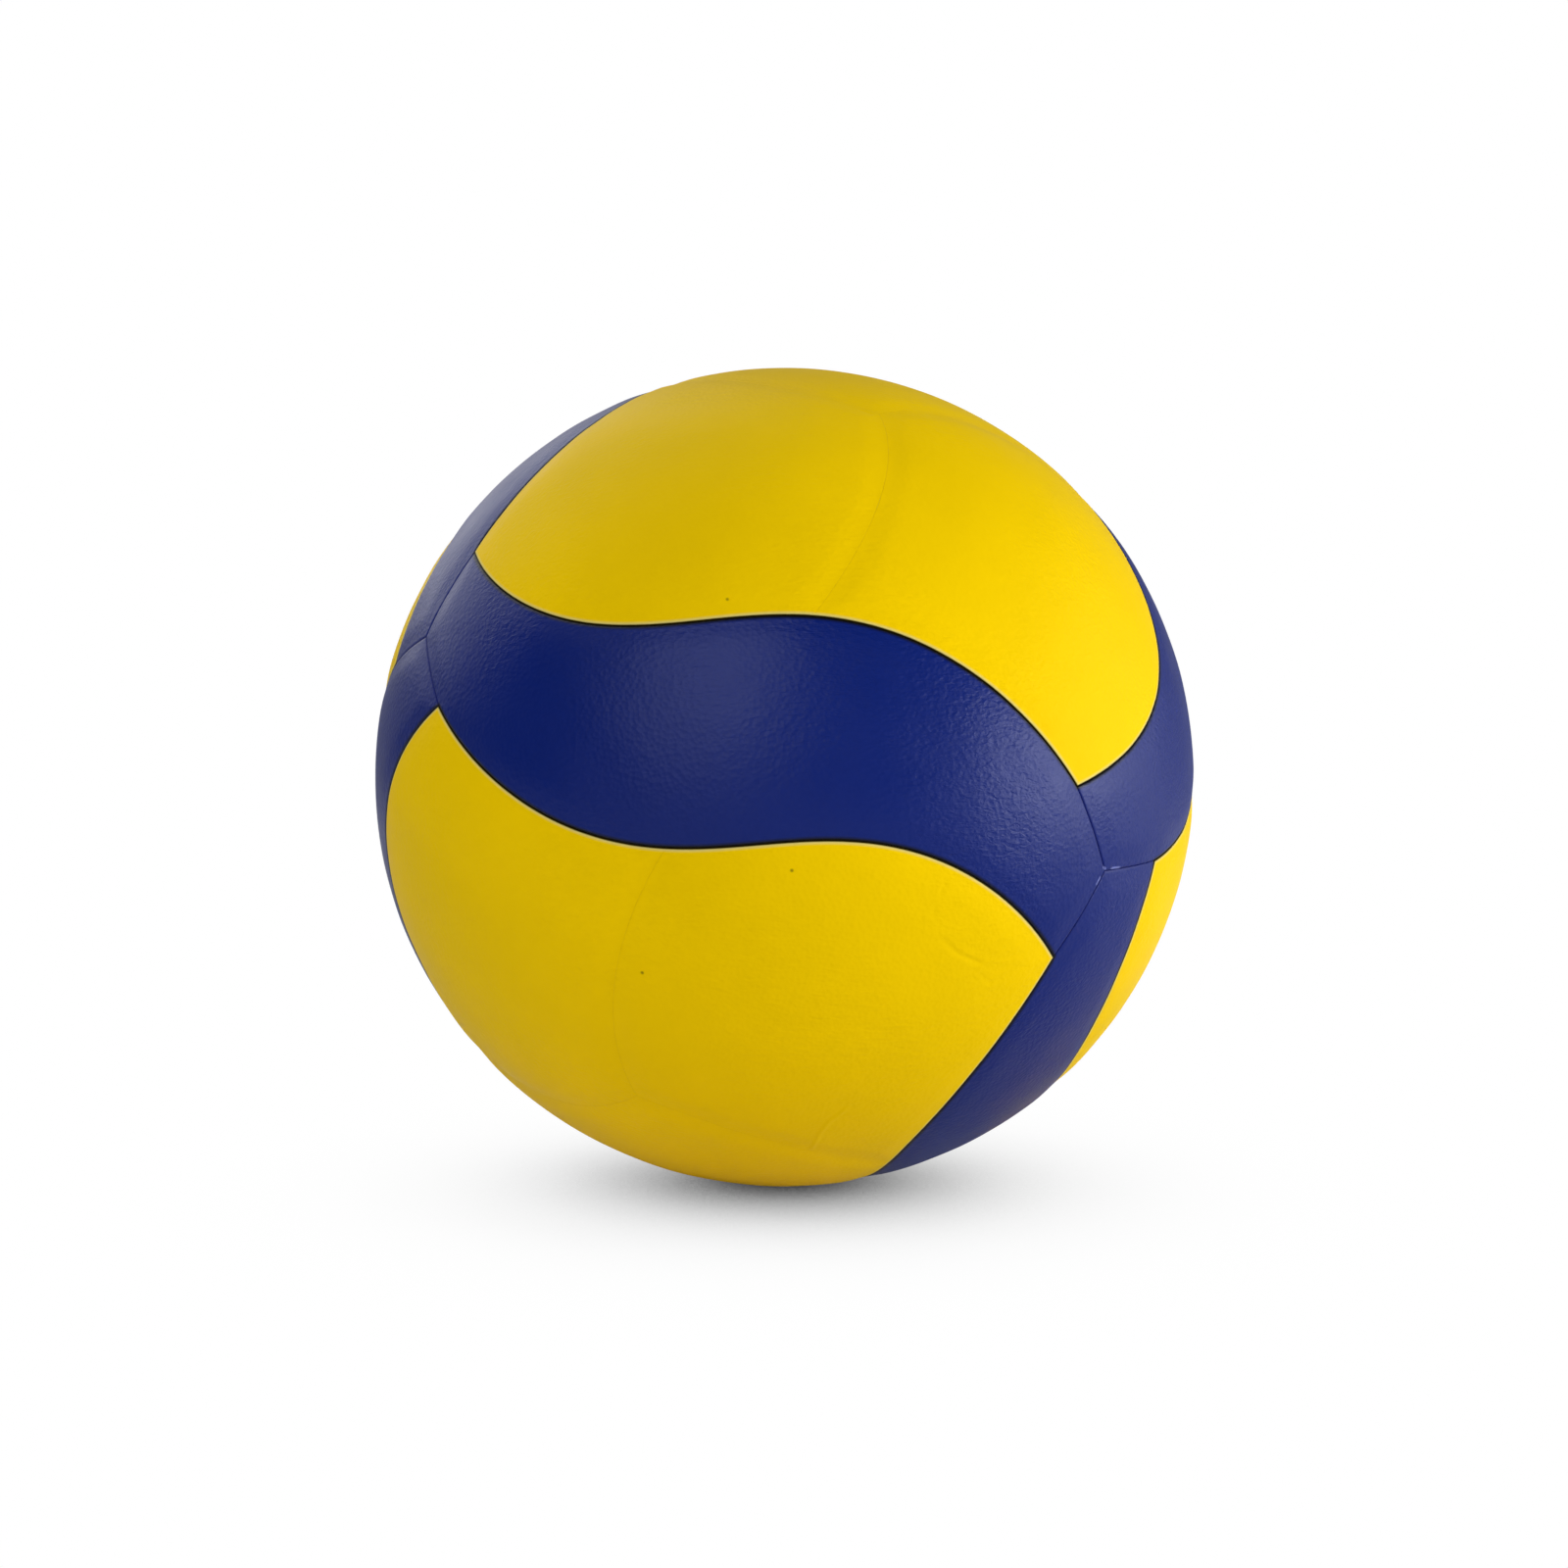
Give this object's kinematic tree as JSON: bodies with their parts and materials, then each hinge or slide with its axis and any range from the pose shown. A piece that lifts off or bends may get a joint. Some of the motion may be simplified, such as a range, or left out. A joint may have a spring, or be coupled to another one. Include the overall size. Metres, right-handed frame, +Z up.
{
  "type": "indoor volleyball",
  "caption": "Inflated indoor volleyball with a swirled yellow and blue laminated cover over foam, wound carcass, butyl bladder and needle valve.",
  "frame": {"origin": "centre of the ball", "axes": "+Z up as the ball lies; -Y faces the viewer of the pictured side; the valve is on the far side, near +Y"},
  "size_m": [0.21, 0.21, 0.21],
  "materials": {
    "yellow_cover": "satin synthetic leather, fine grain",
    "blue_cover": "satin synthetic leather, fine grain",
    "foam_backing": "closed-cell foam",
    "carcass_rubber": "moulded natural rubber",
    "nylon_thread": "wound nylon thread set in latex",
    "butyl_rubber": "moulded butyl rubber",
    "valve_rubber": "moulded soft rubber"
  },
  "bodies": {
    "root": {"bladder": "butyl_rubber", "valve_seat": "butyl_rubber", "valve_plug": "valve_rubber", "thread_winding": "nylon_thread", "carcass": "carcass_rubber", "blue_pad_1": "foam_backing", "blue_pad_2": "foam_backing", "blue_pad_3": "foam_backing", "blue_pad_4": "foam_backing", "blue_pad_5": "foam_backing", "blue_pad_6": "foam_backing", "yellow_pad_1": "foam_backing", "yellow_pad_2": "foam_backing", "yellow_pad_3": "foam_backing", "yellow_pad_4": "foam_backing", "yellow_pad_5": "foam_backing", "yellow_pad_6": "foam_backing", "yellow_pad_7": "foam_backing", "yellow_pad_8": "foam_backing", "yellow_pad_9": "foam_backing", "yellow_pad_10": "foam_backing", "yellow_pad_11": "foam_backing", "yellow_pad_12": "foam_backing", "blue_panel_1": "blue_cover", "blue_panel_2": "blue_cover", "blue_panel_3": "blue_cover", "blue_panel_4": "blue_cover", "blue_panel_5": "blue_cover", "blue_panel_6": "blue_cover", "yellow_panel_1": "yellow_cover", "yellow_panel_2": "yellow_cover", "yellow_panel_3": "yellow_cover", "yellow_panel_4": "yellow_cover", "yellow_panel_5": "yellow_cover", "yellow_panel_6": "yellow_cover", "yellow_panel_7": "yellow_cover", "yellow_panel_8": "yellow_cover", "yellow_panel_9": "yellow_cover", "yellow_panel_10": "yellow_cover", "yellow_panel_11": "yellow_cover", "yellow_panel_12": "yellow_cover"}
  },
  "joints": []
}
